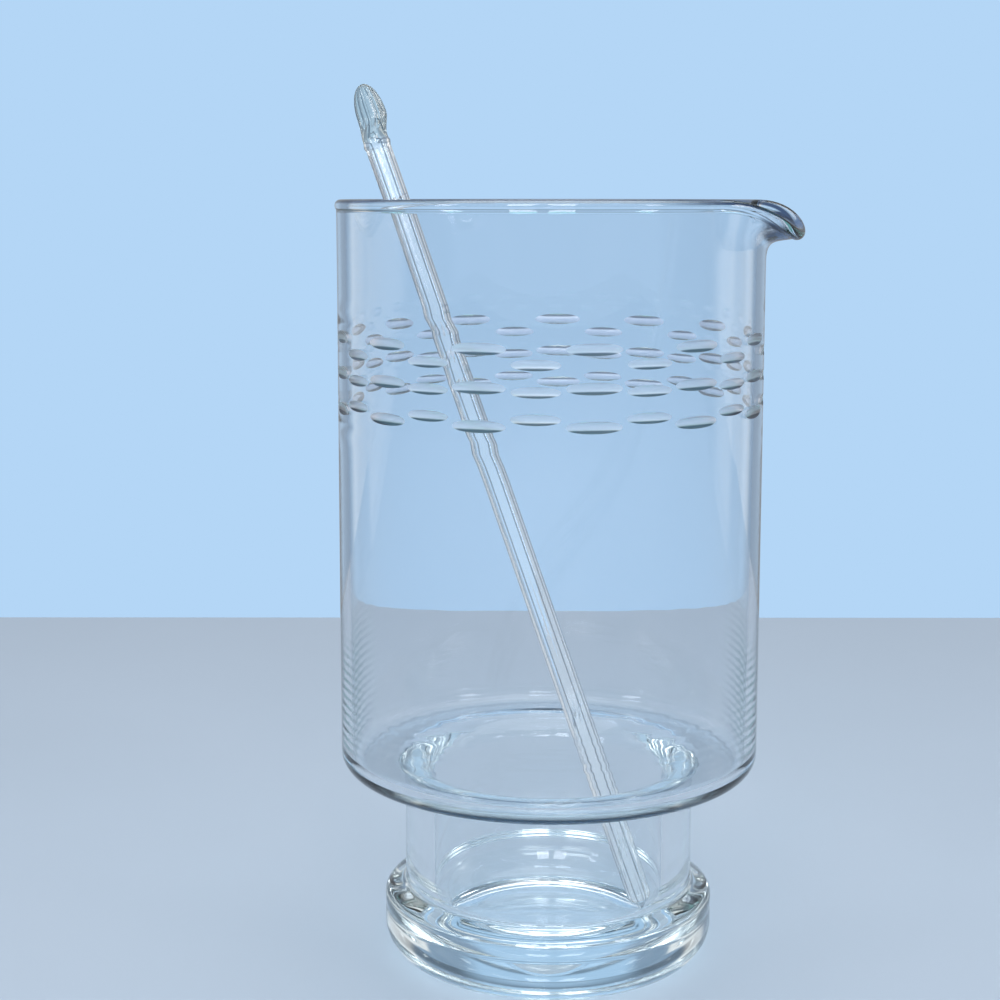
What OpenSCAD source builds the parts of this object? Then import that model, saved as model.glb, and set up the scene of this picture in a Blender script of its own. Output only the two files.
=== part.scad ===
// Glass cocktail pitcher: a blown cylindrical bowl with a pulled spout and a frieze
// of oval wheel cuts, on a heavy pressed foot, with a loose fluted glass stirrer.
// +Z is up, +X points out of the spout, and the origin is the middle of the foot's underside.

/* [Bowl] */
// Outside diameter of the body at the rim
bowl_d = 120; // [110:1:130]
// Outside diameter of the body just above the shoulder
shoulder_d = 121; // [110:1:130]
// Height of the rim above the table
rim_h = 219; // [200:1:240]
// Thickness of the blown wall
wall = 2.5; // [2:0.1:3]
// Height of the shoulder's underside above the table
shoulder_h = 55.8; // [50:0.2:64]
// Radius of the shoulder's outer corner
shoulder_r = 5.6; // [4:0.2:8]
// Thickness of the floor inside the shoulder
shoulder_floor = 3.2; // [3:0.1:4.5]
// Radius of the inner corner where the wall turns into the shoulder floor
shoulder_inner_r = 4.2; // [3:0.2:6]
// Thickness of the wall just above the shoulder
low_wall = 2.9; // [2.5:0.1:3.5]
// Height below which the wall thickens towards the shoulder
thick_h = 100; // [80:2:130]

/* [Neck and well] */
// Outside diameter of the neck
neck_d = 84; // [78:1:90]
// Radius of the hollow where the neck meets the shoulder
neck_fillet = 3; // [1.5:0.5:5]
// Thickness of the neck's wall
neck_wall = 8.5; // [7:0.5:10]
// Share of the shoulder's floor, from the well's side out, that rounds down into the well
mouth_share = 0.65; // [0.4:0.05:0.85]
// Height over which the shoulder's floor rounds down into the well
mouth_fall = 16; // [10:0.5:20]
// Height of the well's floor above the table
well_floor_h = 10; // [9:0.5:13]
// Radius of the well's bottom corner
well_r = 13; // [10:0.5:18]
// Thickness of the bowl's own bottom under the well
bowl_bottom = 5; // [4:0.5:6]

/* [Foot] */
// Diameter of the foot at its widest
foot_d = 96.2; // [90:1:104]
// Diameter of the flat ring and disc that the foot stands on
foot_flat_d = 79.2; // [72:1:86]
// Height at which the lower edge of the foot reaches its full width
foot_edge_h = 9.6; // [8:0.2:11]
// Height at which the foot's upper roll starts to turn in
foot_roll_h = 17; // [15:0.5:18]
// Height of the crown of the upper roll
foot_top_h = 22; // [20.5:0.5:24]
// Width of the quarter oval that makes the upper roll
foot_roll_w = 9.9; // [8:0.1:10]

/* [Lip and spout] */
// Diameter of the fire-polished bead on the rim
lip_d = 3.4; // [3.2:0.1:4]
// Length of wall over which the spout bends out
spout_bend = 12; // [9:0.5:14]
// Length of straight lip past the bend, at the middle of the spout
spout_run = 5.5; // [4:0.5:8]
// Angle through which the lip is turned out at the middle of the spout
spout_turn = 82; // [55:1:84]
// Angle round the rim from the spout's middle to where it fades out
spout_spread = 26; // [20:1:32]
// Height of the plain ring under the bend
lip_skirt = 3; // [2:0.5:5]

/* [Frieze] */
// Number of columns of cuts round the bowl, an even number
columns = 26; // [22:2:28]
// Height of the frieze's middle row above the table
frieze_h = 171.9; // [150:0.5:180]
// Step between the rows in a column of long cuts
long_step = 9.9; // [8:0.1:11]
// Step between the rows in a column of short cuts
short_step = 6.95; // [5:0.05:8]
// How much lower the middle of a column of short cuts sits
short_drop = 0.95; // [0:0.05:2]
// Depth of the long cuts
long_depth = 0.85; // [0.6:0.05:1.1]
// Depth of the short cuts
short_depth = 0.65; // [0.4:0.05:0.8]
// Diameter of the cutting wheel
wheel_d = 120; // [100:5:140]
// Radius of the cutting wheel's rounded edge
wheel_edge_r = 2; // [1.6:0.1:2.2]
// Stretch of wheel past each end of a cut
cut_margin = 0.4; // [0.2:0.1:1]
// Angle from the spout to the first column of short cuts
frieze_turn = 7.9; // [0:0.1:27]
// How far the hand-set spacing drifts once round the bowl, and the angle where it is most
drift_once = 0.9; // [0:0.1:1.5]
drift_once_at = 48; // [-180:1:180]
// How far it drifts twice round the bowl, and the angle where it is most
drift_twice = 0.6; // [0:0.1:1]
drift_twice_at = -19; // [-90:1:90]

/* [Stirrer] */
// Diameter of the rod over its ribs
rod_d = 7.6; // [6:0.1:9]
// Length of the rod up to the head
rod_len = 232.5; // [220:0.5:260]
// Number of flutes round the rod
flutes = 8; // [6:1:10]
// Depth of each flute
flute_depth = 0.45; // [0.2:0.05:0.6]
// Length of the pinched head
head_len = 19.6; // [16:0.2:26]
// Width of the head at its widest
head_w = 10.2; // [8:0.1:11]
// Thickness of the head's flat
head_t = 5; // [3:0.1:5.5]
// How far the thumb presses the head back off the rod's middle line
head_set = 2.4; // [0:0.1:3]
// Number of ribs round the head
head_ribs = 12; // [8:2:14]
// Depth of the grooves between the head's ribs
head_groove = 0.35; // [0.1:0.05:0.5]
// How far the collar at the head's foot stands out past the rod
collar_w = 0.3; // [0:0.1:0.8]
// Angle from the spout to the place on the rim where the rod leans
lean_angle = 166.7; // [150:0.1:180]
// Angle from the spout to the side of the well where the tip rests
tip_angle = 15.1; // [0:0.1:30]
// Angle down from level at which the tip rests on the well's corner
tip_drop = 41; // [20:1:70]
// Angle by which the head's flat is turned about the rod
head_spin = -8; // [-90:1:90]
// Gap between the resting rod and the glass it leans on
rest_gap = 0.3; // [0.2:0.05:0.5]

/* [Hidden] */
$fn = 96;

bowl_r = bowl_d / 2;
shoulder_out_r = shoulder_d / 2;
neck_r = neck_d / 2;
well_side_r = neck_r - neck_wall;
floor_h = shoulder_h + shoulder_floor;
bowl_base_h = well_floor_h - bowl_bottom;
foot_r = foot_d / 2;
foot_roll_in_r = foot_r - foot_roll_w;
// Steps along each rounded corner of a turned outline
corner_steps = 10;

// Points along an arc or oval quarter: centre c, half axes h, from angle a0 to a1
function arc(c, h, a0, a1, steps = corner_steps) =
    [for (i = [0:steps]) let (a = a0 + (a1 - a0) * i / steps) [c[0] + h[0] * cos(a), c[1] + h[1] * sin(a)]];

// Outside radius of the body at height h, between the shoulder's corner and the lip
function body_r(h) =
    let (from_h = shoulder_h + shoulder_r)
    shoulder_out_r + (bowl_r - shoulder_out_r) * (h - from_h) / (lip_start_h - from_h);

// Height at which the foot's upper roll meets the neck
foot_meet_h = foot_roll_h + (foot_top_h - foot_roll_h) * sqrt(1 - pow((neck_r - foot_roll_in_r) / foot_roll_w, 2));

// The rounded bottom of the bowl, which the foot's seat repeats
bottom_bulge = [well_r + neck_wall, foot_meet_h - bowl_base_h];
bottom_edge = arc([neck_r - bottom_bulge[0], foot_meet_h], bottom_bulge, -90, 0);

// Lip: the top of the wall, where the spout is pulled, is lofted from sections
lip_r = lip_d / 2;
lip_len = spout_bend + spout_run + lip_skirt;
lip_start_h = rim_h - lip_len;
lip_sections = 120;
wall_steps = 8;
bead_steps = 9;
// The lofted ring stands this much proud of the turned wall, and reaches this far over it
lip_cover = 0.02;
lip_overlap = 1;

// Turn of the wall at angle a round the rim: full at the spout's middle, none past its spread
function spout_share(a) = abs(a) >= spout_spread ? 0 : pow(0.5 + 0.5 * cos(180 * a / spout_spread), 0.8);
// Turn of the wall at length s above the skirt
function bend_share(s) = s <= 0 ? 0 : s >= spout_bend ? 1 : 0.5 - 0.5 * cos(180 * s / spout_bend);
function lip_turn(a, s) = spout_turn * spout_share(a) * bend_share(s - lip_skirt);

// Length of wall from the start of the lip to the middle of its bead
bead_at = lip_len - lip_r;
half_wall = wall / 2 + lip_cover;
bead_from = -acos(half_wall / lip_r);
wall_end = bead_at + lip_r * sin(bead_from);
wall_step = wall_end / wall_steps;
// Small steps that follow the bend between two sections points
sub_steps = 6;

// Middle line of the wall at angle a: radius, height and turn at each step
function lip_line(a) = [
    for (
        k = 0, p = [bowl_r - wall / 2, lip_start_h];
        k <= wall_steps * sub_steps;
        p = p + wall_step / sub_steps * [
            sin(lip_turn(a, (k + 0.5) * wall_step / sub_steps)),
            cos(lip_turn(a, (k + 0.5) * wall_step / sub_steps))
        ],
        k = k + 1
    ) if (k % sub_steps == 0) [p[0], p[1], lip_turn(a, k * wall_step / sub_steps)]
];

// Closed section of the lip at angle a, up its outer face, over the bead and down its inner face
function lip_section(a) =
    let (
        line = lip_line(a),
        last = line[wall_steps],
        turn = last[2],
        bead = [last[0], last[1]] - lip_r * sin(bead_from) * [sin(turn), cos(turn)]
    )
    concat(
        [for (q = line) [q[0] + half_wall * cos(q[2]), q[1] - half_wall * sin(q[2])]],
        [for (i = [1:bead_steps - 1]) let (b = bead_from + (180 - 2 * bead_from) * i / bead_steps)
            bead + lip_r * (cos(b) * [cos(turn), -sin(turn)] + sin(b) * [sin(turn), cos(turn)])],
        [for (k = [wall_steps:-1:0]) let (q = line[k]) [q[0] - half_wall * cos(q[2]), q[1] + half_wall * sin(q[2])]]
    );

lip_points_each = 2 * (wall_steps + 1) + bead_steps - 1;

// Ring of glass from the start of the lip to the bead, with the pulled spout
module lip() {
    facet = 1 / cos(180 / lip_sections);
    points = [
        for (i = [0:lip_sections - 1])
            let (a = 360 * i / lip_sections - 180)
            for (q = lip_section(a))
                let (r = q[0] > bowl_r ? q[0] * facet : q[0]) [r * cos(a), r * sin(a), q[1]]
    ];
    n = lip_points_each;
    faces = [
        for (i = [0:lip_sections - 1], k = [0:n - 1])
            let (
                a = i * n + k,
                b = i * n + (k + 1) % n,
                c = ((i + 1) % lip_sections) * n + (k + 1) % n,
                d = ((i + 1) % lip_sections) * n + k
            )
            each [[a, b, c], [a, c, d]]
    ];
    polyhedron(points = points, faces = faces);
}

// Turned part of the bowl, from its rounded bottom to just inside the lip
module turned_bowl() {
    inner_r = bowl_r - wall;
    dish_r = shoulder_out_r - low_wall - shoulder_inner_r;
    mouth_w = mouth_share * (dish_r - well_side_r);
    rotate_extrude()
        polygon(concat(
            [[0, bowl_base_h]],
            bottom_edge,
            arc([neck_r + neck_fillet, shoulder_h - neck_fillet], [neck_fillet, neck_fillet], 180, 90),
            arc([shoulder_out_r - shoulder_r, shoulder_h + shoulder_r], [shoulder_r, shoulder_r], -90, 0),
            [[bowl_r, lip_start_h], [bowl_r, lip_start_h + lip_overlap]],
            [[inner_r, lip_start_h + lip_overlap], [inner_r, lip_start_h], [body_r(thick_h) - wall, thick_h]],
            arc([dish_r, floor_h + shoulder_inner_r], [shoulder_inner_r, shoulder_inner_r], 0, -90),
            arc([well_side_r + mouth_w, floor_h - mouth_fall], [mouth_w, mouth_fall], 90, 180),
            arc([well_side_r - well_r, well_floor_h + well_r], [well_r, well_r], 0, -90),
            [[0, well_floor_h]]
        ));
}

// Edge of a cutting wheel, held with its axle upright and sunk depth into the bowl at height h.
// Only the stretch of edge that bites is made, with a margin at both ends.
module wheel_cut(h, depth) {
    wheel_r = wheel_d / 2;
    half_cut = sqrt(2 * depth * body_r(h) * wheel_r / (body_r(h) + wheel_r));
    half_angle = asin((half_cut + cut_margin) / wheel_r);
    translate([body_r(h) + wheel_r - depth, 0, h])
        rotate([0, 0, 180 - half_angle])
            rotate_extrude(angle = 2 * half_angle)
                translate([wheel_r - wheel_edge_r, 0])
                    circle(r = wheel_edge_r);
}

function drift(a) = drift_once * cos(a - drift_once_at) + drift_twice * cos(2 * (a - drift_twice_at));

// Three rows of cuts in each column, columns of long and short cuts in turn
module frieze() {
    for (i = [0:columns - 1], row = [-1:1])
        rotate([0, 0, frieze_turn + 360 * i / columns + drift(frieze_turn + 360 * i / columns)])
            if (i % 2 == 0)
                wheel_cut(frieze_h - short_drop + row * short_step, short_depth);
            else
                wheel_cut(frieze_h + row * long_step, long_depth);
}

module bowl() {
    color([0.86, 0.93, 0.93, 0.35])
        difference() {
            union() {
                turned_bowl();
                lip();
            }
            frieze();
        }
}

module foot() {
    flat_r = foot_flat_d / 2;
    color([0.80, 0.90, 0.89, 0.45])
        rotate_extrude()
            polygon(concat(
                [[0, 0], [flat_r, 0]],
                arc([flat_r, foot_edge_h], [foot_r - flat_r, foot_edge_h], -90, 0),
                [for (p = arc([foot_roll_in_r, foot_roll_h], [foot_roll_w, foot_top_h - foot_roll_h], 0, 90))
                    if (p[0] > neck_r) p],
                [for (i = [corner_steps:-1:0]) bottom_edge[i]],
                [[0, bowl_base_h]]
            ));
}

// Where the stirrer rests: its rounded tip on the well's corner, its side on the lip's bead.
// Its middle line runs between these two points.
rod_r = rod_d / 2;
tip_reach = well_r - rod_r - rest_gap;
tip_r = well_side_r - well_r + tip_reach * cos(tip_drop);
tip_h = well_floor_h + well_r - tip_reach * sin(tip_drop);
lean_h = rim_h - lip_r;
lean_tilt = atan((bowl_r + tip_r) / (lean_h - tip_h));
lean_r = bowl_r - wall / 2 - (lip_r + rod_r + rest_gap) / cos(lean_tilt);
lean_point = [lean_r * cos(lean_angle), lean_r * sin(lean_angle), lean_h];
tip_point = [tip_r * cos(tip_angle), tip_r * sin(tip_angle), tip_h];
rod_axis = (lean_point - tip_point) / norm(lean_point - tip_point);
rod_tilt = acos(rod_axis[2]);
rod_heading = atan2(rod_axis[1], rod_axis[0]);

// Puts a child made along +Z, with its tip's middle at the origin, where the stirrer rests
module at_rest() {
    translate(tip_point)
        rotate([0, rod_tilt, rod_heading])
            children();
}

module stirrer_rod() {
    flute_r = rod_r * sin(180 / flutes);
    color([0.88, 0.95, 0.95, 0.4])
        at_rest()
            difference() {
                union() {
                    sphere(r = rod_r);
                    cylinder(r = rod_r, h = rod_len);
                }
                for (i = [0:flutes - 1])
                    rotate([0, 0, 360 * (i + 0.5) / flutes])
                        translate([rod_r + flute_r - flute_depth, 0, 0])
                            cylinder(r = flute_r, h = rod_len + rod_r);
            }
}

// Head: a loft of flattened, ribbed sections, from a round collar to the rounded tip
head_rings = 22;
head_sides = 72;
// Shares of the head's length: middle and end of the collar, end of the pinch, widest place, end of the set
collar_share = 0.05;
collar_end_share = 0.12;
pinch_end_share = 0.42;
widest_share = 0.48;
set_end_share = 0.5;

// Smooth step from 0 at share a of the length to 1 at share b
function ease(u, a, b) = 0.5 - 0.5 * cos(180 * min(1, max(0, (u - a) / (b - a))));
function head_close(u) = u < widest_share ? 1 : sqrt(1 - pow((u - widest_share) / (1 - widest_share), 2.2));
function head_collar(u) = collar_w * (ease(u, 0, collar_share) - ease(u, collar_share, collar_end_share));
function head_half_w(u) = rod_r + (head_w / 2 - rod_r) * ease(u, collar_end_share, widest_share);
function head_half_t(u) = rod_r + (head_t / 2 - rod_r) * ease(u, collar_end_share, pinch_end_share);
function head_back(u) = head_set * ease(u, collar_end_share, set_end_share);
// Depth of the groove at angle a, none on the collar
function head_cut(u, a) = head_groove * ease(u, collar_end_share, pinch_end_share) * (0.5 + 0.5 * cos(head_ribs * a));
function head_point(u, a) =
    let (
        half = [head_half_w(u), head_half_t(u)] * head_close(u),
        grow = head_collar(u) - head_cut(u, a) * head_close(u)
    )
    [(half[0] + grow) * cos(a), (half[1] + grow) * sin(a) - head_back(u), head_len * u];

module stirrer_head() {
    // Rings lie closer together towards the tip
    ring_shares = [for (i = [0:head_rings - 1]) sin(90 * i / head_rings)];
    points = concat(
        [[0, 0, 0]],
        [for (u = ring_shares, k = [0:head_sides - 1]) head_point(u, 360 * k / head_sides)],
        [[0, -head_set, head_len]]
    );
    last = head_rings * head_sides + 1;
    faces = concat(
        [for (k = [0:head_sides - 1]) [0, 1 + (k + 1) % head_sides, 1 + k]],
        [for (i = [0:head_rings - 2], k = [0:head_sides - 1])
            let (
                a = 1 + i * head_sides + k,
                b = 1 + i * head_sides + (k + 1) % head_sides
            )
            each [[a, b, b + head_sides], [a, b + head_sides, a + head_sides]]],
        [for (k = [0:head_sides - 1])
            [last, last - head_sides + k, last - head_sides + (k + 1) % head_sides]]
    );
    color([0.84, 0.92, 0.92, 0.45])
        at_rest()
            translate([0, 0, rod_len])
                rotate([0, 0, head_spin])
                    polyhedron(points = points, faces = faces);
}

bowl();
foot();
stirrer_rod();
stirrer_head();
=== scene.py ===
import math

import bmesh
import bpy
import numpy as np
from mathutils import Matrix, Vector
from mathutils.geometry import delaunay_2d_cdt


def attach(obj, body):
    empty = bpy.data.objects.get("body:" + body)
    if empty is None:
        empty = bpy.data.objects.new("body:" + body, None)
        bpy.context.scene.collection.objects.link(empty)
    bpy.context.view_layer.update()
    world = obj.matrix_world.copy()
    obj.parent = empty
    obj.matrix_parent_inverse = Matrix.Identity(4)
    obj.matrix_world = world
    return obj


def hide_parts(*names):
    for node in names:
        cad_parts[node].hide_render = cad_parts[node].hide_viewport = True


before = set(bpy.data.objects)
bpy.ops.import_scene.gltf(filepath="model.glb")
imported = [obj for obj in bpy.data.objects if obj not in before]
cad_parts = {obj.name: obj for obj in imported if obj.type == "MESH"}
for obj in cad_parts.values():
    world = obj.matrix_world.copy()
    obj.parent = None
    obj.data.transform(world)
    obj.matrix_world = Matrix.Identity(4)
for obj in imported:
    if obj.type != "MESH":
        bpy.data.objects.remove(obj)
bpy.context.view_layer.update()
scene = bpy.context.scene
MM = 0.001

# Camera, where the pitcher was photographed from: level with the rim, half a metre
# away and a little to the spout's side, looking down about nine degrees.
VIEW_HEADING = math.radians(19.16)
VIEW_PITCH = math.radians(9.368)
VIEW_ROLL = math.radians(0.03)
CAMERA_ASIDE = -14.25 * MM
CAMERA_BACK = 524.91 * MM
CAMERA_UP = 220.31 * MM
FOCAL_SHARE = 1.85106

camera_data = bpy.data.cameras.new("camera")
camera_data.sensor_width = 36
camera_data.lens = FOCAL_SHARE * camera_data.sensor_width
camera_data.clip_start, camera_data.clip_end = 0.01, 50
camera = bpy.data.objects.new("camera", camera_data)
scene.collection.objects.link(camera)
scene.camera = camera
view_turn = Matrix.Rotation(VIEW_HEADING, 4, "Z")
camera.matrix_world = (
    view_turn
    @ Matrix.Translation((CAMERA_ASIDE, -CAMERA_BACK, CAMERA_UP))
    @ Matrix.Rotation(math.pi / 2 - VIEW_PITCH, 4, "X")
    @ Matrix.Rotation(VIEW_ROLL, 4, "Z")
)

# Studio: a plain pale table top that ends an arm's length behind the pitcher, with a
# paler wall beyond it. The camera sees that wall plain, and the glass sees windows in it.
TABLE_BEHIND = 0.43
TABLE_REACH = 3.0
TABLE_GAP = 0.0002
TABLE_COLOR = (0.42, 0.5, 0.6, 1)
TABLE_MOTTLE = 0.96
WALL_COLOR = (0.456, 0.672, 0.922, 1)
# What is seen through the glass: tones from below level to straight up, and round from
# straight ahead, in degrees to the left. The pale tones are the windows.
SLOPE_LOW, SLOPE_HIGH = -0.4, 1.0
HEIGHT_TONES = [(0, 1), (0.45, 1), (0.48, 0.4), (0.51, 0.4)]
HEIGHT_TONES += [(0.55, 0.95), (0.8, 0.95), (0.9, 0.5), (1, 0.5)]
WINDOW_TONE = (1, 1, 1, 1)
SHADE_TONE = (0.25, 0.36, 0.5, 1)
CORNER_TONE = (0.12, 0.17, 0.25, 1)
BEHIND_TONE = (0.4, 0.5, 0.64, 1)
ROUND_TONES = [(-180, BEHIND_TONE), (-125, BEHIND_TONE), (-118, CORNER_TONE), (-88, CORNER_TONE)]
ROUND_TONES += [(-80, WINDOW_TONE), (-46, WINDOW_TONE), (-42, SHADE_TONE), (-24, SHADE_TONE)]
ROUND_TONES += [(-18, WALL_COLOR), (18, WALL_COLOR), (24, SHADE_TONE), (40, SHADE_TONE)]
ROUND_TONES += [(44, WINDOW_TONE), (58, WINDOW_TONE), (66, CORNER_TONE), (100, CORNER_TONE)]
ROUND_TONES += [(112, BEHIND_TONE), (180, BEHIND_TONE)]
ROOM_COLOR = (0.85, 0.92, 1.0, 1)
ROOM_STRENGTH = 0.45


def new_material(name):
    """An empty node material, its node tree and its output node."""
    material = bpy.data.materials.new(name)
    material.use_nodes = True
    tree = material.node_tree
    tree.nodes.clear()
    output = tree.nodes.new("ShaderNodeOutputMaterial")
    return material, tree, output


def plain_mesh(name, points, faces, materials=()):
    """A mesh object in the row frame, from points in metres."""
    mesh = bpy.data.meshes.new(name)
    corners = [tuple(map(int, face)) for face in faces]
    mesh.from_pydata([tuple(map(float, p)) for p in points], [], corners)
    for material in materials:
        mesh.materials.append(material)
    mesh.update()
    made = bpy.data.objects.new(name, mesh)
    scene.collection.objects.link(made)
    return made


table_material, tree, output = new_material("table_paint")
shader = tree.nodes.new("ShaderNodeBsdfPrincipled")
shader.inputs["Roughness"].default_value = 0.65
grain = tree.nodes.new("ShaderNodeTexNoise")
grain.inputs["Scale"].default_value = 9
grain.inputs["Detail"].default_value = 4
tone = tree.nodes.new("ShaderNodeValToRGB")
tone.color_ramp.elements[0].color = [c * TABLE_MOTTLE for c in TABLE_COLOR[:3]] + [1]
tone.color_ramp.elements[1].color = TABLE_COLOR
where = tree.nodes.new("ShaderNodeTexCoord")
tree.links.new(where.outputs["Object"], grain.inputs["Vector"])
tree.links.new(grain.outputs["Fac"], tone.inputs["Fac"])
tree.links.new(tone.outputs["Color"], shader.inputs["Base Color"])
tree.links.new(shader.outputs["BSDF"], output.inputs["Surface"])

table_corners = [
    (-TABLE_REACH, -TABLE_REACH, -TABLE_GAP),
    (TABLE_REACH, -TABLE_REACH, -TABLE_GAP),
    (TABLE_REACH, TABLE_BEHIND, -TABLE_GAP),
    (-TABLE_REACH, TABLE_BEHIND, -TABLE_GAP),
]
table_top = plain_mesh(
    "table_top", [view_turn @ Vector(c) for c in table_corners], [(0, 1, 2, 3)], [table_material]
)

world = bpy.data.worlds.new("room")
scene.world = world
world.use_nodes = True
tree = world.node_tree
tree.nodes.clear()
output = tree.nodes.new("ShaderNodeOutputWorld")
room = tree.nodes.new("ShaderNodeBackground")
room.inputs["Color"].default_value = ROOM_COLOR
room.inputs["Strength"].default_value = ROOM_STRENGTH
wall = tree.nodes.new("ShaderNodeBackground")
where = tree.nodes.new("ShaderNodeTexCoord")
split = tree.nodes.new("ShaderNodeSeparateXYZ")
height = tree.nodes.new("ShaderNodeMapRange")
height.inputs["From Min"].default_value = SLOPE_LOW
height.inputs["From Max"].default_value = SLOPE_HIGH
wall_tone = tree.nodes.new("ShaderNodeValToRGB")
ends = {0: 0, 1: -1}
for place, tone in HEIGHT_TONES:
    stops = wall_tone.color_ramp.elements
    stop = stops[ends[place]] if place in ends else stops.new(place)
    stop.color = (tone, tone, tone, 1)
around = tree.nodes.new("ShaderNodeMath")
around.operation = "ARCTAN2"
from_view = tree.nodes.new("ShaderNodeMath")
from_view.operation = "SUBTRACT"
from_view.inputs[1].default_value = VIEW_HEADING + math.pi / 2
once_round = tree.nodes.new("ShaderNodeMath")
once_round.operation = "WRAP"
once_round.inputs[1].default_value = math.pi
once_round.inputs[2].default_value = -math.pi
share_round = tree.nodes.new("ShaderNodeMapRange")
share_round.inputs["From Min"].default_value = -math.pi
share_round.inputs["From Max"].default_value = math.pi
round_tone = tree.nodes.new("ShaderNodeValToRGB")
for angle, colour in ROUND_TONES:
    place = 0.5 + angle / 360
    stops = round_tone.color_ramp.elements
    stop = stops[ends[place]] if place in ends else stops.new(place)
    stop.color = colour
both = tree.nodes.new("ShaderNodeMix")
both.data_type = "RGBA"
both.blend_type = "MULTIPLY"
both.inputs["Factor"].default_value = 1
plain = tree.nodes.new("ShaderNodeBackground")
plain.inputs["Color"].default_value = WALL_COLOR
through = tree.nodes.new("ShaderNodeMixShader")
seen = tree.nodes.new("ShaderNodeMixShader")
path = tree.nodes.new("ShaderNodeLightPath")
straight_on = tree.nodes.new("ShaderNodeMath")
straight_on.operation = "LESS_THAN"
straight_on.inputs[1].default_value = 0.5
mix = tree.nodes.new("ShaderNodeMixShader")
tree.links.new(where.outputs["Generated"], split.inputs[0])
tree.links.new(split.outputs["Z"], height.inputs["Value"])
tree.links.new(height.outputs[0], wall_tone.inputs["Fac"])
tree.links.new(wall_tone.outputs["Color"], both.inputs[6])
tree.links.new(round_tone.outputs["Color"], both.inputs[7])
tree.links.new(both.outputs[2], wall.inputs["Color"])
tree.links.new(path.outputs["Diffuse Depth"], straight_on.inputs[0])
tree.links.new(split.outputs["Y"], around.inputs[0])
tree.links.new(split.outputs["X"], around.inputs[1])
tree.links.new(around.outputs[0], from_view.inputs[0])
tree.links.new(from_view.outputs[0], once_round.inputs[0])
tree.links.new(once_round.outputs[0], share_round.inputs["Value"])
tree.links.new(share_round.outputs[0], round_tone.inputs["Fac"])
tree.links.new(path.outputs["Is Transmission Ray"], through.inputs["Fac"])
tree.links.new(room.outputs[0], through.inputs[1])
tree.links.new(wall.outputs[0], through.inputs[2])
tree.links.new(straight_on.outputs[0], mix.inputs["Fac"])
tree.links.new(room.outputs[0], mix.inputs[1])
tree.links.new(through.outputs[0], mix.inputs[2])
tree.links.new(path.outputs["Is Camera Ray"], seen.inputs["Fac"])
tree.links.new(mix.outputs[0], seen.inputs[1])
tree.links.new(plain.outputs[0], seen.inputs[2])
tree.links.new(seen.outputs[0], output.inputs["Surface"])


# Lamps: four tall soft boxes, like windows in front and to the sides, and a broad one
# overhead. Places are in metres, to the camera's right, away from it and up.
def soft_box(name, place, toward, size, power):
    """A rectangular area lamp, placed and aimed in the camera's own heading."""
    data = bpy.data.lights.new(name, "AREA")
    data.shape = "RECTANGLE"
    data.size, data.size_y = size
    data.energy = power
    lamp = bpy.data.objects.new(name, data)
    scene.collection.objects.link(lamp)
    start = view_turn @ Vector(place)
    aim = view_turn @ Vector(toward) - start
    turned = aim.to_track_quat("-Z", "Y").to_matrix().to_4x4()
    lamp.matrix_world = Matrix.Translation(start) @ turned


soft_box("window_left", (-0.35, -1.1, 0.9), (0, 0, 0.1), (0.3, 0.7), 5.5)
soft_box("window_right", (0.1, -1.15, 0.95), (0, 0, 0.1), (0.3, 0.7), 5.5)
soft_box("window_far_left", (-1.25, -0.75, 0.85), (0, 0, 0.05), (0.25, 0.6), 3)
soft_box("window_far_right", (1.15, -0.85, 0.85), (0, 0, 0.05), (0.25, 0.6), 3)
soft_box("overhead", (0.1, 0.2, 1.6), (0, 0, 0), (1.6, 1.6), 13)

scene.view_settings.view_transform = "Standard"
# A line of sight through bowl, well, foot and rod meets many faces of glass.
scene.cycles.max_bounces = 24
scene.cycles.transmission_bounces = 24
scene.cycles.glossy_bounces = 12
scene.cycles.transparent_max_bounces = 24

# Pitcher: blown clear glass, bowl and pressed foot fused to one mass. The outline is
# turned; the lip is thickened to a bead by fire and pulled out to a spout. Sizes in mm.
BOWL_R = 60.0
SHOULDER_R = 60.5
RIM_H = 219.0
WALL = 2.5
SHOULDER_H = 55.8
SHOULDER_CORNER = 5.6
SHOULDER_FLOOR = 3.2
THICKENS_FROM = 150.0
LOW_WALL = 3.2
SHOULDER_INNER = 4.2
NECK_R = 42.0
NECK_FILLET = 3.0
NECK_WALL = 8.5
MOUTH_SHARE = 0.65
MOUTH_FALL = 7.0
WELL_FLOOR = 10.0
WELL_ROWS = (38, 33, 28)
WELL_CORNER = 13.0
FOOT_R = 48.1
FOOT_FLAT_R = 39.6
FOOT_EDGE_H = 9.6
FOOT_ROLL_H = 17.0
FOOT_TOP_H = 22.0
FOOT_ROLL_W = 9.9
# A shallow crease round the foot's side, in and up from its widest place, and the seam
# where the neck sinks into the foot, out from the neck and up.
FOOT_CREASE = [(0.12, 3.6), (0.3, 4.2), (0.12, 4.8)]
SEAM_OUT = 0.9
FOOT_SEAM = [(0.35, 0.25), (0.06, 0.9), (0, 1.8)]
LIP_D = 3.4
SPOUT_BEND = 12.0
SPOUT_RUN = 5.5
SPOUT_TURN = math.radians(82)
SPOUT_SPREAD = math.radians(26)
LIP_SKIRT = 3.0
LIP_WALL_ROWS, LIP_BEAD_ROWS = 26, 14
COLUMNS_ROUND = 208


def corner(centre, half, start, end, steps=10):
    """Points on a quarter of an oval, from start to end in degrees."""
    turns = np.radians(np.linspace(start, end, steps + 1))
    return [(centre[0] + half[0] * math.cos(t), centre[1] + half[1] * math.sin(t)) for t in turns]


def straight(a, b, step):
    """Points from a towards b, about a step apart, without the ends."""
    n = max(1, int(round(math.dist(a, b) / step)))
    return [tuple(np.add(a, np.subtract(b, a) * i / n)) for i in range(1, n)]


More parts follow.
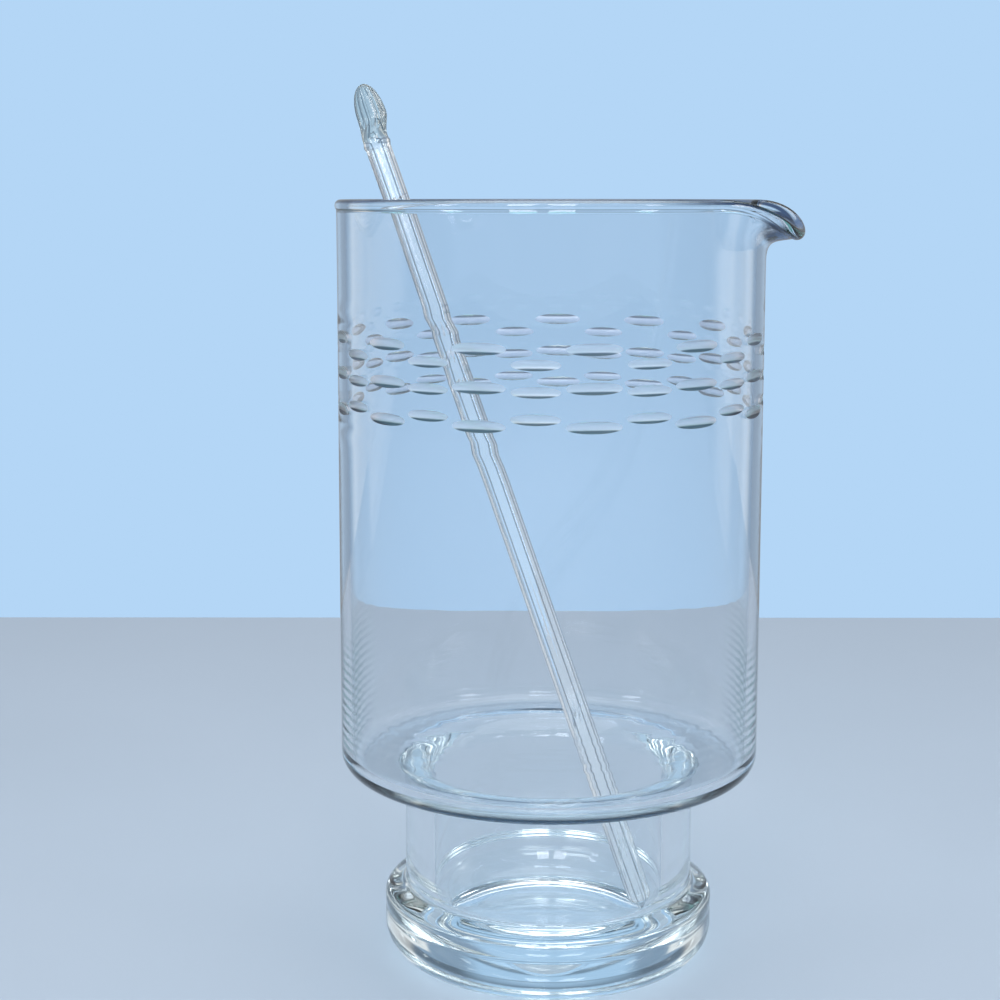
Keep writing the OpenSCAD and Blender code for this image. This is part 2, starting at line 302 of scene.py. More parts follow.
def run(*parts):
    """Joins rounded corners by straight stretches."""
    line = list(parts[0])
    for part in parts[1:]:
        line += straight(line[-1], part[0], 3.0) + list(part)
    return line


LIP_START = RIM_H - (SPOUT_BEND + SPOUT_RUN + LIP_SKIRT)
SHOULDER_TOP = SHOULDER_H + SHOULDER_CORNER
# The band of wall that holds the frieze is made apart, below, and let in here.
FRIEZE_H = 171.9
BAND_HALF = 14
BAND_LOW, BAND_HIGH = FRIEZE_H - BAND_HALF, FRIEZE_H + BAND_HALF
# Rings start where the frieze's first pair of columns does.
FRIEZE_TURN = math.radians(9.3)


def body_r(h):
    """Outside radius of the body at a height: it narrows slightly towards the lip."""
    share = (h - SHOULDER_TOP) / (LIP_START - SHOULDER_TOP)
    return SHOULDER_R + (BOWL_R - SHOULDER_R) * min(1, max(0, share))


foot_in = FOOT_R - FOOT_ROLL_W
foot_roll = (FOOT_ROLL_W, FOOT_TOP_H - FOOT_ROLL_H)
meet_share = (NECK_R + SEAM_OUT - foot_in) / FOOT_ROLL_W
meet_h = FOOT_ROLL_H + foot_roll[1] * math.sqrt(1 - meet_share**2)
outer_low = run(
    [(FOOT_FLAT_R * s, 0) for s in (0.35, 0.7, 0.9)],
    corner((FOOT_FLAT_R, FOOT_EDGE_H), (FOOT_R - FOOT_FLAT_R, FOOT_EDGE_H), -90, 0, 16),
    [(FOOT_R - deep, FOOT_EDGE_H + up) for deep, up in FOOT_CREASE],
    [p for p in corner((foot_in, FOOT_ROLL_H), foot_roll, 0, 90, 24) if p[0] > NECK_R + SEAM_OUT],
    [(NECK_R + out, meet_h + up) for out, up in FOOT_SEAM],
    corner((NECK_R + NECK_FILLET, SHOULDER_H - NECK_FILLET), (NECK_FILLET, NECK_FILLET), 180, 90),
    corner((SHOULDER_R - SHOULDER_CORNER, SHOULDER_TOP), (SHOULDER_CORNER,) * 2, -90, 0, 14),
    [(body_r(BAND_LOW), BAND_LOW)],
)
outer_high = run([(body_r(BAND_HIGH), BAND_HIGH)], [(BOWL_R, LIP_START)])
floor_h = SHOULDER_H + SHOULDER_FLOOR
corner_h = floor_h + SHOULDER_INNER


def inner_wall_r(h):
    """Inside radius of the body at a height: the wall thickens towards the shoulder."""
    share = min(1, max(0, (THICKENS_FROM - h) / (THICKENS_FROM - corner_h)))
    return body_r(h) - WALL - (LOW_WALL - WALL) * share


# The faint ripples inside the lower wall need closer rings.
RIPPLES_FROM = 106.0
RIPPLE_DEPTH, RIPPLE_PITCH = 0.012, 2.4
RING_STEP, RIPPLE_RING_STEP = 2, 0.6
wall_heights = np.concatenate([
    np.arange(THICKENS_FROM, RIPPLES_FROM, -RING_STEP),
    np.arange(RIPPLES_FROM, corner_h, -RIPPLE_RING_STEP),
])
dish_r = inner_wall_r(corner_h) - SHOULDER_INNER
well_side = NECK_R - NECK_WALL
mouth_w = MOUTH_SHARE * (dish_r - well_side)
inner = run(
    [(BOWL_R - WALL, LIP_START - 1)],
    [(inner_wall_r(h), h) for h in wall_heights],
    corner((dish_r, corner_h), (SHOULDER_INNER, SHOULDER_INNER), 0, -90, 10),
    corner((well_side + mouth_w, floor_h - MOUTH_FALL), (mouth_w, MOUTH_FALL), 90, 180, 30),
    [(well_side, h) for h in WELL_ROWS],
    corner((well_side - WELL_CORNER, WELL_FLOOR + WELL_CORNER), (WELL_CORNER,) * 2, 0, -90, 20),
    [((well_side - WELL_CORNER) * x, WELL_FLOOR) for x in (0.75, 0.5, 0.25)],
)


def ease(x, a, b):
    """Smooth step from 0 at a to 1 at b."""
    return 0.5 - 0.5 * np.cos(np.pi * np.clip((np.asarray(x, float) - a) / (b - a), 0, 1))


def lip_rows(turns, wall_rows, bead_rows):
    """Rings of the lip, up its outside, over the bead and down its inside."""
    lip_r = LIP_D / 2
    spread = np.clip(np.abs(turns) / SPOUT_SPREAD, 0, 1)
    full_turn = SPOUT_TURN * (0.5 + 0.5 * np.cos(np.pi * spread)) ** 0.8
    bead_from = -math.acos(WALL / 2 / lip_r)
    wall_end = SPOUT_BEND + SPOUT_RUN + LIP_SKIRT - lip_r + lip_r * math.sin(bead_from)
    sub = 6
    step = wall_end / (wall_rows * sub)
    r, z = np.full(len(turns), BOWL_R - WALL / 2), np.full(len(turns), LIP_START)
    line = [(r, z, full_turn * 0)]
    for k in range(wall_rows * sub):
        bend = full_turn * ease((k + 0.5) * step - LIP_SKIRT, 0, SPOUT_BEND)
        r, z = r + step * np.sin(bend), z + step * np.cos(bend)
        if (k + 1) % sub == 0:
            line.append((r, z, full_turn * ease((k + 1) * step - LIP_SKIRT, 0, SPOUT_BEND)))
    rows = [(r + WALL / 2 * np.cos(t), z - WALL / 2 * np.sin(t)) for r, z, t in line]
    r, z, t = line[-1]
    bead_r = r - lip_r * math.sin(bead_from) * np.sin(t)
    bead_z = z - lip_r * math.sin(bead_from) * np.cos(t)
    for b in np.linspace(bead_from, math.pi - bead_from, bead_rows + 1)[1:-1]:
        along, up = lip_r * math.cos(b), lip_r * math.sin(b)
        out = bead_r + along * np.cos(t) + up * np.sin(t)
        rows.append((out, bead_z - along * np.sin(t) + up * np.cos(t)))
    rows += [(r - WALL / 2 * np.cos(t), z + WALL / 2 * np.sin(t)) for r, z, t in line[::-1]]
    return rows


def ring_points(rows, turns):
    """Row after row of points round the axis, from radii and heights in millimetres."""
    points = []
    for r, z in rows:
        r, z = np.broadcast_to(r, turns.shape), np.broadcast_to(z, turns.shape)
        points.append(np.stack([r * np.cos(turns), r * np.sin(turns), z], 1))
    return np.concatenate(points) * MM


def skin(rows, n, first=0):
    """Quads between neighbouring rings of n points."""
    quads = []
    for low in range(first, first + (rows - 1) * n, n):
        high = low + n
        quads += [(low + k, low + (k + 1) % n, high + (k + 1) % n, high + k) for k in range(n)]
    return quads


turns = np.linspace(-np.pi, np.pi, COLUMNS_ROUND, endpoint=False) + FRIEZE_TURN
turns = (turns + np.pi) % (2 * np.pi) - np.pi
n = COLUMNS_ROUND
high_rows = outer_high[:-1] + lip_rows(turns, LIP_WALL_ROWS, LIP_BEAD_ROWS) + inner[1:]
points = np.concatenate([
    ring_points(outer_low, turns),
    ring_points(high_rows, turns),
    [(0, 0, 0), (0, 0, WELL_FLOOR * MM)],
])
faces = skin(len(outer_low), n) + skin(len(high_rows), n, len(outer_low) * n)
total = (len(outer_low) + len(high_rows)) * n
faces += [(total, (k + 1) % n, k) for k in range(n)]
faces += [(total + 1, total - n + k, total - n + (k + 1) % n) for k in range(n)]

# Frieze: three rows of ovals in each column, ground by an upright wheel and left grey.
# Columns of long and short cuts take turns; a pair of columns is laid out and repeated.
PAIRS = 13
LONG_STEP, SHORT_STEP, SHORT_DROP = 9.9, 6.95, 0.95
LONG_DEPTH, SHORT_DEPTH = 0.85, 0.65
WHEEL_R, WHEEL_EDGE = 60.0, 2.0
CUT_POINTS = 36
CUT_RINGS = (0.86, 0.66, 0.4, 0.15)
BAND_ROWS = 18
ROUND_CUT = 1.12
# The cutter set the columns out by eye, so their spacing drifts round the bowl.
FRIEZE_SHIFT = math.radians(-1.4)
DRIFT_ONCE, DRIFT_ONCE_AT = math.radians(0.9), math.radians(48)
DRIFT_TWICE, DRIFT_TWICE_AT = math.radians(0.6), math.radians(-19)
pitch = 2 * math.pi / (2 * PAIRS)


def cut_outline(depth, size=1.0):
    """Turns and heights of an oval cut's edge from its middle, shrunk to a share of its size."""
    around = np.linspace(0, 2 * np.pi, CUT_POINTS, endpoint=False)
    reach = math.sqrt(WHEEL_EDGE**2 - (WHEEL_EDGE - depth) ** 2)
    dz = reach * np.sin(around) * 0.99999  # just short of the tips, so that the roots stay real
    rho = WHEEL_R - WHEEL_EDGE + np.sqrt(WHEEL_EDGE**2 - dz**2)
    c = body_r(FRIEZE_H) + WHEEL_R - depth
    x = (body_r(FRIEZE_H) ** 2 - rho**2 + c**2) / (2 * c)
    phi = np.arccos(np.clip(x / body_r(FRIEZE_H), -1, 1)) * np.sign(np.cos(around))
    return phi * size, dz * size


def cut_surface(phi, dz, depth):
    """Radius of the ground surface at a turn and height from the cut's middle."""
    rho = WHEEL_R - WHEEL_EDGE + np.sqrt(WHEEL_EDGE**2 - dz**2)
    c = body_r(FRIEZE_H) + WHEEL_R - depth
    return c * np.cos(phi) - np.sqrt(rho**2 - (c * np.sin(phi)) ** 2)


cuts = [(0.0, FRIEZE_H - SHORT_DROP + row * SHORT_STEP, SHORT_DEPTH) for row in (-1, 0, 1)]
cuts += [(pitch, FRIEZE_H + row * LONG_STEP, LONG_DEPTH) for row in (-1, 0, 1)]
columns_pair = COLUMNS_ROUND // PAIRS
grid = [
    (pitch * (-0.5 + 2 * i / columns_pair), BAND_LOW + (BAND_HIGH - BAND_LOW) * j / BAND_ROWS)
    for i in range(columns_pair + 1)
    for j in range(BAND_ROWS + 1)
]
flat_points, ovals = [], []
for turn, height, depth in cuts:
    phi, dz = cut_outline(depth)
    first = len(flat_points)
    flat_points += [Vector(((turn + a) * BOWL_R, height + b)) for a, b in zip(phi, dz)]
    ovals.append(list(range(first, first + CUT_POINTS)))
half_long = [max(abs(cut_outline(d)[0])) for _, _, d in cuts]
half_high = [max(abs(cut_outline(d)[1])) for _, _, d in cuts]
for turn, height in grid:
    on_edge = abs(turn + 0.5 * pitch) < 1e-9 or abs(turn - 1.5 * pitch) < 1e-9
    clear = all(
        math.hypot((turn - t) / a, (height - h) / b) > ROUND_CUT
        for (t, h, _), a, b in zip(cuts, half_long, half_high)
    )
    if on_edge or clear:
        flat_points.append(Vector((turn * BOWL_R, height)))
flat = delaunay_2d_cdt(flat_points, [], ovals, 0, 1e-6)
pair_points = []
for p in flat[0]:
    turn, h = p.x / BOWL_R, p.y
    pair_points.append((body_r(h) * math.cos(turn), body_r(h) * math.sin(turn), h))
pair_faces = [tuple(f) for f, inside in zip(flat[2], flat[5]) if not inside]
clear_faces = len(pair_faces)
flat_index = {i: k for k, olds in enumerate(flat[3]) for i in olds}
for oval, (turn, height, depth) in zip(ovals, cuts):
    ring = [flat_index[i] for i in oval]
    for size in CUT_RINGS:
        phi, dz = cut_outline(depth, size)
        first = len(pair_points)
        for r, a, b in zip(cut_surface(phi, dz, depth), phi, dz):
            pair_points.append((r * math.cos(turn + a), r * math.sin(turn + a), height + b))
        inner_ring = list(range(first, first + CUT_POINTS))
        for k in range(CUT_POINTS):
            m = (k + 1) % CUT_POINTS
            pair_faces.append((ring[k], ring[m], inner_ring[m], inner_ring[k]))
        ring = inner_ring
    deepest = cut_surface(0, 0, depth)
    pair_points.append((deepest * math.cos(turn), deepest * math.sin(turn), height))
    for k in range(CUT_POINTS):
        pair_faces.append((ring[k], ring[(k + 1) % CUT_POINTS], len(pair_points) - 1))

# Clear glass: colourless, faintly green where it is thick, with a fire-polished skin.
# Its edges look dark against a pale room, so painted shade deepens its tone towards them.
GLASS_IOR = 1.5
GLASS_TINT = (0.62, 0.9, 0.86, 1)
GLASS_DENSITY = 2.4
GLASS_SHADE = (0.9, 0.93, 0.94, 1)
BODY_TONE = (0.925, 0.94, 0.955, 1)
PAINTED_EDGE_SHADE = (0.3, 0.38, 0.48, 1)
PAINTED_SHOULDER_SHADE = (0.002, 0.008, 0.02, 1)
PAINTED_RIPPLE_SHADE = (0.08, 0.26, 0.22, 1)
PAINTED_LIP_SHADE = (0.04, 0.07, 0.15, 1)
PAINTED_SPOUT_SHADE = (0.01, 0.02, 0.05, 1)


class Glass:
    """Clear glass whose tint grows with its thickness, and short ways to darken its tone with
    painted shade.
    """

    def __init__(self, name, tone, roughness=0.0, clearness=1.0):
        self.material, self.tree, output = new_material(name)
        self.shader = self.node("BsdfPrincipled")
        self.shader.inputs["Roughness"].default_value = roughness
        self.shader.inputs["IOR"].default_value = GLASS_IOR
        self.shader.inputs["Transmission Weight"].default_value = clearness
        self.tone = self.node("RGB").outputs[0]
        self.tone.default_value = tone
        self.facing = self.node("LayerWeight").outputs["Facing"]
        self.behind = self.node("NewGeometry").outputs["Backfacing"]
        self.in_front = self.math("SUBTRACT", 1, self.behind)
        where = self.node("TexCoord")
        self.where = where.outputs["Object"]
        place = self.node("SeparateXYZ")
        self.out, self.height = place.outputs["X"], place.outputs["Z"]
        normal = self.node("SeparateXYZ")
        self.upward = normal.outputs["Z"]
        self.link(self.where, place.inputs[0])
        self.link(where.outputs["Normal"], normal.inputs[0])
        tint = self.node("VolumeAbsorption")
        tint.inputs["Color"].default_value = GLASS_TINT
        tint.inputs["Density"].default_value = GLASS_DENSITY
        shade = self.node("BsdfTransparent")
        shade.inputs["Color"].default_value = GLASS_SHADE
        surface = self.node("MixShader")
        self.link(self.node("LightPath").outputs["Is Shadow Ray"], surface.inputs["Fac"])
        self.link(self.shader.outputs["BSDF"], surface.inputs[1])
        self.link(shade.outputs["BSDF"], surface.inputs[2])
        self.link(surface.outputs[0], output.inputs["Surface"])
        self.link(tint.outputs["Volume"], output.inputs["Volume"])

    def node(self, kind, **settings):
        """A new shader node of a kind, with its settings."""
        node = self.tree.nodes.new("ShaderNode" + kind)
        for name, value in settings.items():
            setattr(node, name, value)
        return node

    def link(self, source, target):
        self.tree.links.new(source, target)

    def math(self, operation, *values):
        """A math node fed by sockets or plain numbers."""
        node = self.node("Math", operation=operation)
        for socket, value in zip(node.inputs, values):
            if isinstance(value, (int, float)):
                socket.default_value = value
            else:
                self.link(value, socket)
        return node.outputs[0]

    def ramp(self, source, low, high):
        """A share that eases from 0 at low to 1 at high."""
        node = self.node("MapRange", interpolation_type="SMOOTHSTEP")
        node.inputs["From Min"].default_value = low
        node.inputs["From Max"].default_value = high
        self.link(source, node.inputs["Value"])
        return node.outputs[0]

    def darken(self, colour, *shares):
        """Multiplies the tone by a colour where all the shares hold."""
        both = shares[0]
        for share in shares[1:]:
            both = self.math("MULTIPLY", both, share)
        node = self.node("Mix", data_type="RGBA", blend_type="MULTIPLY")
        node.inputs[7].default_value = colour
        self.link(self.tone, node.inputs[6])
        self.link(both, node.inputs["Factor"])
        self.tone = node.outputs[2]
        self.link(self.tone, self.shader.inputs["Base Color"])

    def paint_shade_under_spout(self):
        """Paints shade on the spout where it juts out and faces down."""
        self.darken(
            PAINTED_SPOUT_SHADE,
            self.ramp(self.out, (BOWL_R + 1) * MM, (BOWL_R + 3.5) * MM),
            self.ramp(self.upward, -0.5, -0.85),
            self.ramp(self.height, (LIP_START - 6) * MM, (LIP_START - 2) * MM),
        )


glass = Glass("clear_glass", BODY_TONE)
clear_glass = glass.material
# Painted shade darkens the glass towards its edges, where it turns from the view.
glass.darken(PAINTED_EDGE_SHADE, glass.ramp(glass.facing, 0.8, 0.97))
# Painted shade: the corner under the shoulder, where the glass faces down, is darkened to the
# darkest line on the pitcher.
glass.darken(
    PAINTED_SHOULDER_SHADE,
    glass.ramp(glass.upward, -0.2, -0.6),
    glass.ramp(glass.height, (SHOULDER_TOP + 1) * MM, (SHOULDER_TOP - 2) * MM),
    glass.ramp(glass.height, (SHOULDER_H - 6) * MM, (SHOULDER_H - 4) * MM),
    glass.in_front,
)
# Painted shade under the spout.
glass.paint_shade_under_spout()
# Painted shade: the ripples show as green stripes towards the sides of the thick lower wall.
painted_ripple_stripes = glass.node("TexWave", bands_direction="Z")
painted_ripple_stripes.inputs["Scale"].default_value = 2 * math.pi / (20 * RIPPLE_PITCH * MM)
painted_ripple_stripes.inputs["Distortion"].default_value = 2.2
painted_ripple_stripes.inputs["Detail"].default_value = 2
painted_ripple_stripes.inputs["Detail Scale"].default_value = 0.35
glass.link(glass.where, painted_ripple_stripes.inputs["Vector"])
glass.darken(
    PAINTED_RIPPLE_SHADE,
    glass.ramp(glass.height, 108 * MM, 84 * MM),
    glass.ramp(glass.height, (SHOULDER_TOP - 4) * MM, (SHOULDER_TOP + 2) * MM),
    glass.ramp(glass.facing, 0.5, 0.85),
    glass.ramp(painted_ripple_stripes.outputs["Fac"], 0.35, 0.8),
)

glass = Glass("lip_glass", BODY_TONE)
lip_glass = glass.material
# Painted shade darkens the lip's bead where it faces up and turns from the view.
glass.darken(PAINTED_LIP_SHADE, glass.ramp(glass.facing, 0.35, 0.65), glass.ramp(glass.upward, 0.2, 0.6))
# A painted dark line of shade runs along the lip's slope and out to the spout's tip.
glass.darken(
    PAINTED_SPOUT_SHADE,
    glass.ramp(glass.out, (BOWL_R - 24) * MM, (BOWL_R - 4) * MM),
    glass.in_front,
    glass.ramp(glass.upward, 0.1, 0.3),
    glass.ramp(glass.upward, 0.8, 0.6),
)
# Painted shade under the spout.
glass.paint_shade_under_spout()

# The wheel's grey finish, with painted shade on it: light where it faces down, darkened along
# each cut's lower edge, where it faces up, and duller on the far side of the bowl, where it is
# seen through the glass.
GROUND_TONE = (0.93, 0.9, 0.98, 1)
PAINTED_CUT_EDGE_SHADE = (0.12, 0.15, 0.22, 1)
PAINTED_FAR_CUT_SHADE = (0.86, 0.88, 0.92, 1)
GROUND_ROUGHNESS, GROUND_CLEARNESS = 0.3, 0.78

glass = Glass("ground_glass", GROUND_TONE, GROUND_ROUGHNESS, GROUND_CLEARNESS)
ground_glass = glass.material
# Painted shade: darker along each cut's lower edge, and duller on the far side of the bowl.
glass.darken(PAINTED_CUT_EDGE_SHADE, glass.ramp(glass.upward, 0.3, 0.5))
glass.darken(PAINTED_FAR_CUT_SHADE, glass.behind)

pair_points = np.array(pair_points) * MM
pair = plain_mesh("frieze_pair", pair_points, pair_faces, [clear_glass, ground_glass])
mark = pair.data.attributes.new("ground", "BOOLEAN", "FACE")
mark.data.foreach_set("value", [i >= clear_faces for i in range(len(pair_faces))])

tree = bpy.data.node_groups.new("frieze_round_bowl", "GeometryNodeTree")
tree.interface.new_socket("Geometry", in_out="INPUT", socket_type="NodeSocketGeometry")
pairs_socket = tree.interface.new_socket("Pairs", in_out="INPUT", socket_type="NodeSocketInt")
tree.interface.new_socket("Geometry", in_out="OUTPUT", socket_type="NodeSocketGeometry")
group_in = tree.nodes.new("NodeGroupInput")
group_out = tree.nodes.new("NodeGroupOutput")
line = tree.nodes.new("GeometryNodeMeshLine")
line.inputs["Offset"].default_value = (0, 0, 0)
index = tree.nodes.new("GeometryNodeInputIndex")
step = tree.nodes.new("ShaderNodeMath")
step.operation = "DIVIDE"
step.inputs[0].default_value = 2 * math.pi
turn_by = tree.nodes.new("ShaderNodeMath")
turn_by.operation = "MULTIPLY"
euler = tree.nodes.new("ShaderNodeCombineXYZ")
place = tree.nodes.new("GeometryNodeInstanceOnPoints")
realize = tree.nodes.new("GeometryNodeRealizeInstances")
paint = tree.nodes.new("GeometryNodeSetMaterial")
paint.inputs["Material"].default_value = ground_glass
ground = tree.nodes.new("GeometryNodeInputNamedAttribute")
ground.data_type = "BOOLEAN"
ground.inputs["Name"].default_value = "ground"
tree.links.new(group_in.outputs["Pairs"], line.inputs["Count"])
tree.links.new(group_in.outputs["Pairs"], step.inputs[1])
tree.links.new(index.outputs[0], turn_by.inputs[0])
tree.links.new(step.outputs[0], turn_by.inputs[1])
tree.links.new(turn_by.outputs[0], euler.inputs["Z"])
tree.links.new(line.outputs["Mesh"], place.inputs["Points"])
tree.links.new(group_in.outputs["Geometry"], place.inputs["Instance"])
tree.links.new(euler.outputs[0], place.inputs["Rotation"])
tree.links.new(place.outputs[0], realize.inputs[0])
tree.links.new(realize.outputs[0], paint.inputs["Geometry"])
tree.links.new(ground.outputs["Attribute"], paint.inputs["Selection"])
tree.links.new(paint.outputs[0], group_out.inputs[0])

modifier = pair.modifiers.new("frieze_round_bowl", "NODES")
modifier.node_group = tree
modifier[pairs_socket.identifier] = PAIRS
evaluated = pair.evaluated_get(bpy.context.evaluated_depsgraph_get())
band = bpy.data.meshes.new_from_object(evaluated)
band.transform(Matrix.Rotation(FRIEZE_TURN, 4, "Z"))
bpy.data.objects.remove(pair)

# The pitcher joined: the turned outline and the band of cuts are one closed skin. The
# columns drift as the cutter set them, and the lower wall's inside takes its ripples.
WELD = 2e-6
INSIDE_R = BOWL_R - 1.6
CLEAR, GROUND, LIP = range(3)
RIPPLE_WIDER = 1.57

body = bmesh.new()
body.from_mesh(band)
body_points = [body.verts.new(tuple(p)) for p in points]
first_bead = (len(outer_low) + len(outer_high) - 1 + LIP_WALL_ROWS) * n
for face in faces:
    made = body.faces.new([body_points[i] for i in face])
    if first_bead <= min(face) < first_bead + (LIP_BEAD_ROWS + 1) * n:
        made.material_index = LIP
bmesh.ops.remove_doubles(body, verts=body.verts, dist=WELD)
for v in body.verts:
    out, h, a = math.hypot(v.co.x, v.co.y), v.co.z / MM, math.atan2(v.co.y, v.co.x)
    if BAND_LOW - 0.01 < h < BAND_HIGH + 0.01 and out > INSIDE_R * MM:
        drift = DRIFT_ONCE * math.cos(a - DRIFT_ONCE_AT)
        drift += DRIFT_TWICE * math.cos(2 * (a - DRIFT_TWICE_AT))
        a += FRIEZE_SHIFT + drift
        v.co.x, v.co.y = out * math.cos(a), out * math.sin(a)
    if corner_h + 1 < h < THICKENS_FROM and (SHOULDER_R - 6) * MM < out < INSIDE_R * MM:
        wave = math.sin(2 * math.pi * h / RIPPLE_PITCH + 2 * math.sin(a))
        wider = 2 * math.pi * h / (RIPPLE_WIDER * RIPPLE_PITCH)
        wave += 0.7 * math.sin(wider + 3 * math.sin(2 * a))
        fade = ease(h, corner_h, corner_h + 5) * (1 - 0.97 * ease(h, 70, 90))
        fade *= 1 - ease(h, 100, 145)
        grown = 1 + RIPPLE_DEPTH * wave * fade * MM / out
        v.co.x, v.co.y = v.co.x * grown, v.co.y * grown
for face in body.faces:
    face.smooth = True
for edge in body.edges:
    if len({side.material_index == GROUND for side in edge.link_faces}) == 2:
        edge.smooth = False
pitcher_mesh = bpy.data.meshes.new("pitcher_glass")
body.to_mesh(pitcher_mesh)
body.free()
for material in (clear_glass, ground_glass, lip_glass):
    pitcher_mesh.materials.append(material)
pitcher = bpy.data.objects.new("pitcher_glass", pitcher_mesh)
scene.collection.objects.link(pitcher)
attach(pitcher, "pitcher")
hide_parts("bowl", "foot")

# Stirrer: a drawn glass rod with eight flutes, its tip rounded in the flame and its
# other end gathered to a collar and pinched to a flat ribbed thumb piece.
ROD_R = 3.8
ROD_LEN = 232.5
FLUTES = 8
FLUTE_DEPTH = 0.2
HEAD_LEN = 19.6
HEAD_W, HEAD_T, HEAD_SET = 10.2, 5.0, 2.4
HEAD_RIBS, HEAD_GROOVE, COLLAR_W = 12, 0.35, 0.3
HEAD_SPIN = math.radians(-8)
LEAN_ANGLE, TIP_ANGLE, TIP_DROP = math.radians(166.7), math.radians(15.1), math.radians(41)
REST_GAP = 0.3
STIRRER_SIDES = 96
# Where the head's forms end, in shares of its length, and the fluted rod's smooth end.
COLLAR_MID, COLLAR_END = 0.05, 0.12
THIN_AT, WIDE_AT, SET_BACK_AT = 0.42, 0.48, 0.5
ROD_END = 1.2
STIRRER_TONE = (1, 1, 1, 1)
PAINTED_STIRRER_EDGE_SHADE = (0.12, 0.15, 0.18, 1)
PAINTED_RIDGE_SHADE = (0.2, 0.23, 0.26, 1)
HEAD_TONE = (0.68, 0.73, 0.71, 1)
STIRRER_CLEARNESS = 0.93

# The tip rests on the well's rounded corner, TIP_DROP round it, and the rod leans on the
# lip, both with a hair's gap.
tip_reach = WELL_CORNER - ROD_R - REST_GAP
tip_r = well_side - WELL_CORNER + tip_reach * math.cos(TIP_DROP)
tip_h = WELL_FLOOR + WELL_CORNER - tip_reach * math.sin(TIP_DROP)
lean_h = RIM_H - LIP_D / 2
lean_tilt = math.atan((BOWL_R + tip_r) / (lean_h - tip_h))
lean_r = BOWL_R - WALL / 2 - (LIP_D / 2 + ROD_R + REST_GAP) / math.cos(lean_tilt)
tip = Vector((tip_r * math.cos(TIP_ANGLE), tip_r * math.sin(TIP_ANGLE), tip_h))
lean = Vector((lean_r * math.cos(LEAN_ANGLE), lean_r * math.sin(LEAN_ANGLE), lean_h))
axis = (lean - tip).normalized()
rest = (
    Matrix.Translation(tip)
    @ Matrix.Rotation(math.atan2(axis.y, axis.x), 4, "Z")
    @ Matrix.Rotation(math.acos(axis.z), 4, "Y")
)


def flute_radius(angle):
    """Radius of the fluted rod at an angle: round ridges cut by shallow scallops."""
    cutter = ROD_R * math.sin(math.pi / FLUTES)
    off = (angle / (2 * np.pi) * FLUTES) % 1 - 0.5
    off = off * 2 * np.pi / FLUTES
    c = ROD_R + cutter - FLUTE_DEPTH
    inside = cutter**2 - (c * np.sin(off)) ** 2
    scallop = c * np.cos(off) - np.sqrt(np.maximum(inside, 0))
    return np.where(inside > 0, np.minimum(ROD_R, scallop), ROD_R)


angles = np.linspace(0, 2 * np.pi, STIRRER_SIDES, endpoint=False)
rings = []
rod_r = flute_radius(angles)
for t in np.radians(np.linspace(-84, 0, 15)):
    rings.append((rod_r * math.cos(t), rod_r * math.cos(t), 0, ROD_R * math.sin(t)))
for z in np.linspace(0, ROD_LEN - ROD_END, 60)[1:]:
    rings.append((rod_r, rod_r, 0, z))
for share in (0.33, 0.66):
    r = rod_r * (1 - share) + ROD_R * share
    rings.append((r, r, 0, ROD_LEN - ROD_END + ROD_END * share))
for share in np.sin(np.linspace(0, np.pi / 2, 60, endpoint=False)):
    close = math.sqrt(1 - (max(0, share - WIDE_AT) / (1 - WIDE_AT)) ** 2.2)
    wide = (ROD_R + (HEAD_W / 2 - ROD_R) * ease(share, COLLAR_END, WIDE_AT)) * close
    thinned = ease(share, COLLAR_END, THIN_AT)
    thick = (ROD_R + (HEAD_T / 2 - ROD_R) * thinned) * close
    collar = COLLAR_W * (ease(share, 0, COLLAR_MID) - ease(share, COLLAR_MID, COLLAR_END))
    groove = HEAD_GROOVE * thinned * (0.5 + 0.5 * np.cos(HEAD_RIBS * angles)) * close
    back = HEAD_SET * ease(share, COLLAR_END, SET_BACK_AT)
    proud = collar - groove
    rings.append((wide + proud, thick + proud, back, ROD_LEN + HEAD_LEN * share))
points = []
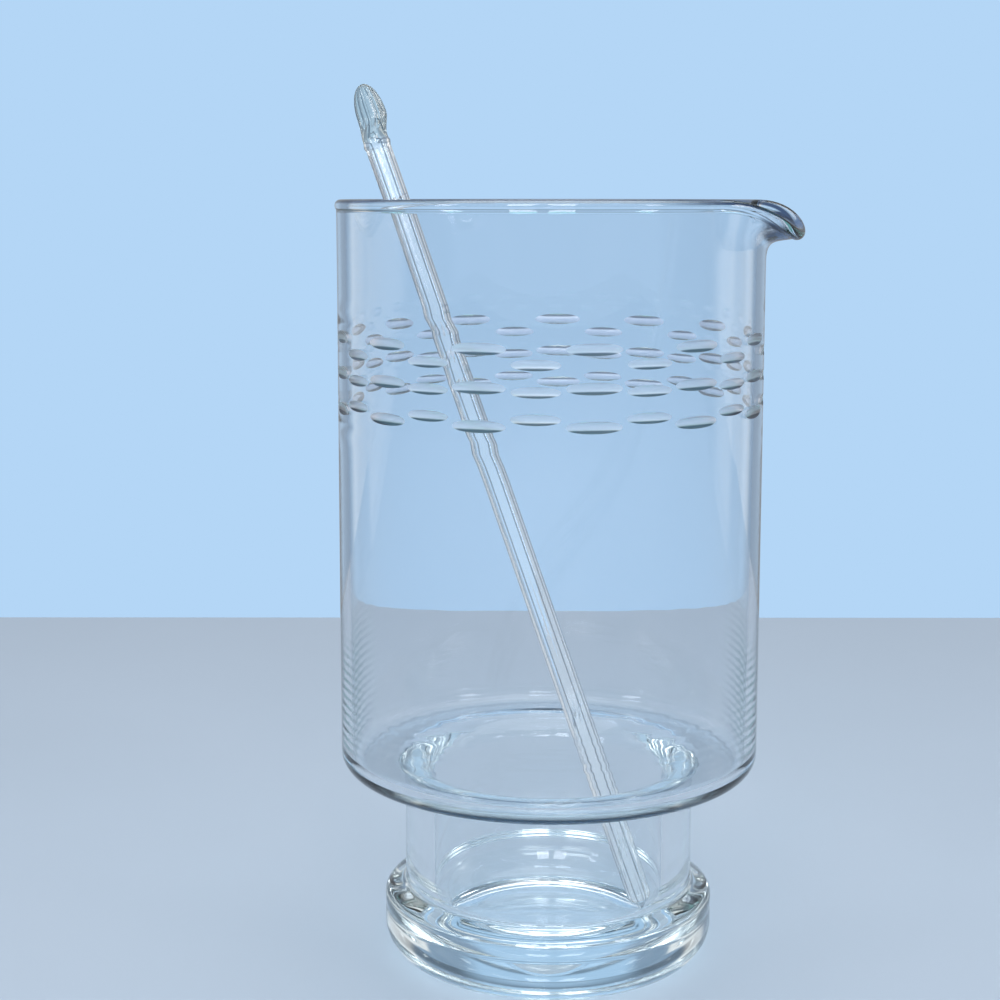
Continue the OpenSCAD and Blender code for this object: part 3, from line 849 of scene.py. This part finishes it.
for rx, ry, back, z in rings:
    spin = 0 if z < ROD_LEN else HEAD_SPIN
    x, y = rx * np.cos(angles - spin), ry * np.sin(angles - spin) - back
    turned_x, turned_y = x * np.cos(spin) - y * np.sin(spin), x * np.sin(spin) + y * np.cos(spin)
    points.append(np.stack([turned_x, turned_y, np.full(len(angles), z)], 1))
head_tip = (HEAD_SET * math.sin(HEAD_SPIN), -HEAD_SET * math.cos(HEAD_SPIN), ROD_LEN + HEAD_LEN)
points = np.concatenate(points + [[(0, 0, -ROD_R), head_tip]])
m = STIRRER_SIDES
last = len(rings) * m
faces = skin(len(rings), m)
faces += [(last, (k + 1) % m, k) for k in range(m)]
faces += [(last + 1, last - m + k, last - m + (k + 1) % m) for k in range(m)]

glass = Glass("stirrer_glass", STIRRER_TONE, clearness=STIRRER_CLEARNESS)
# Painted shade darkens the rod towards its edges, where it turns from the view.
glass.darken(PAINTED_STIRRER_EDGE_SHADE, glass.ramp(glass.facing, 0.5, 0.9))
# Painted shade lines follow the flutes and the head's ribs, so they are laid out in the rod's own
# frame.
own_place = []
for side in range(3):
    along = glass.node("VectorMath", operation="DOT_PRODUCT")
    along.inputs[1].default_value = rest.col[side][:3]
    glass.link(glass.where, along.inputs[0])
    start = tip.dot(rest.col[side].to_3d()) * MM
    own_place.append(glass.math("SUBTRACT", along.outputs["Value"], start))
on_head = glass.ramp(own_place[2], (ROD_LEN + 1) * MM, (ROD_LEN + 3) * MM)
aside = glass.math("MULTIPLY_ADD", on_head, HEAD_SET * MM, own_place[1])
flatness = glass.math("MULTIPLY_ADD", on_head, HEAD_W / HEAD_T - 1, 1)
turned = glass.math("ARCTAN2", glass.math("MULTIPLY", aside, flatness), own_place[0])
lines = glass.math("MULTIPLY_ADD", on_head, HEAD_RIBS - FLUTES, FLUTES)
crest = glass.math("COSINE", glass.math("MULTIPLY", turned, lines))
glass.darken(PAINTED_RIDGE_SHADE, glass.ramp(crest, 0.8, 0.98))
glass.darken(HEAD_TONE, on_head)

rod_points = [rest @ Vector(p) * MM for p in points]
stirrer = plain_mesh("stirrer_glass", rod_points, faces, [glass.material])
stirrer.data.polygons.foreach_set("use_smooth", [True] * len(stirrer.data.polygons))
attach(stirrer, "stirrer")
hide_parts("stirrer_rod", "stirrer_head")
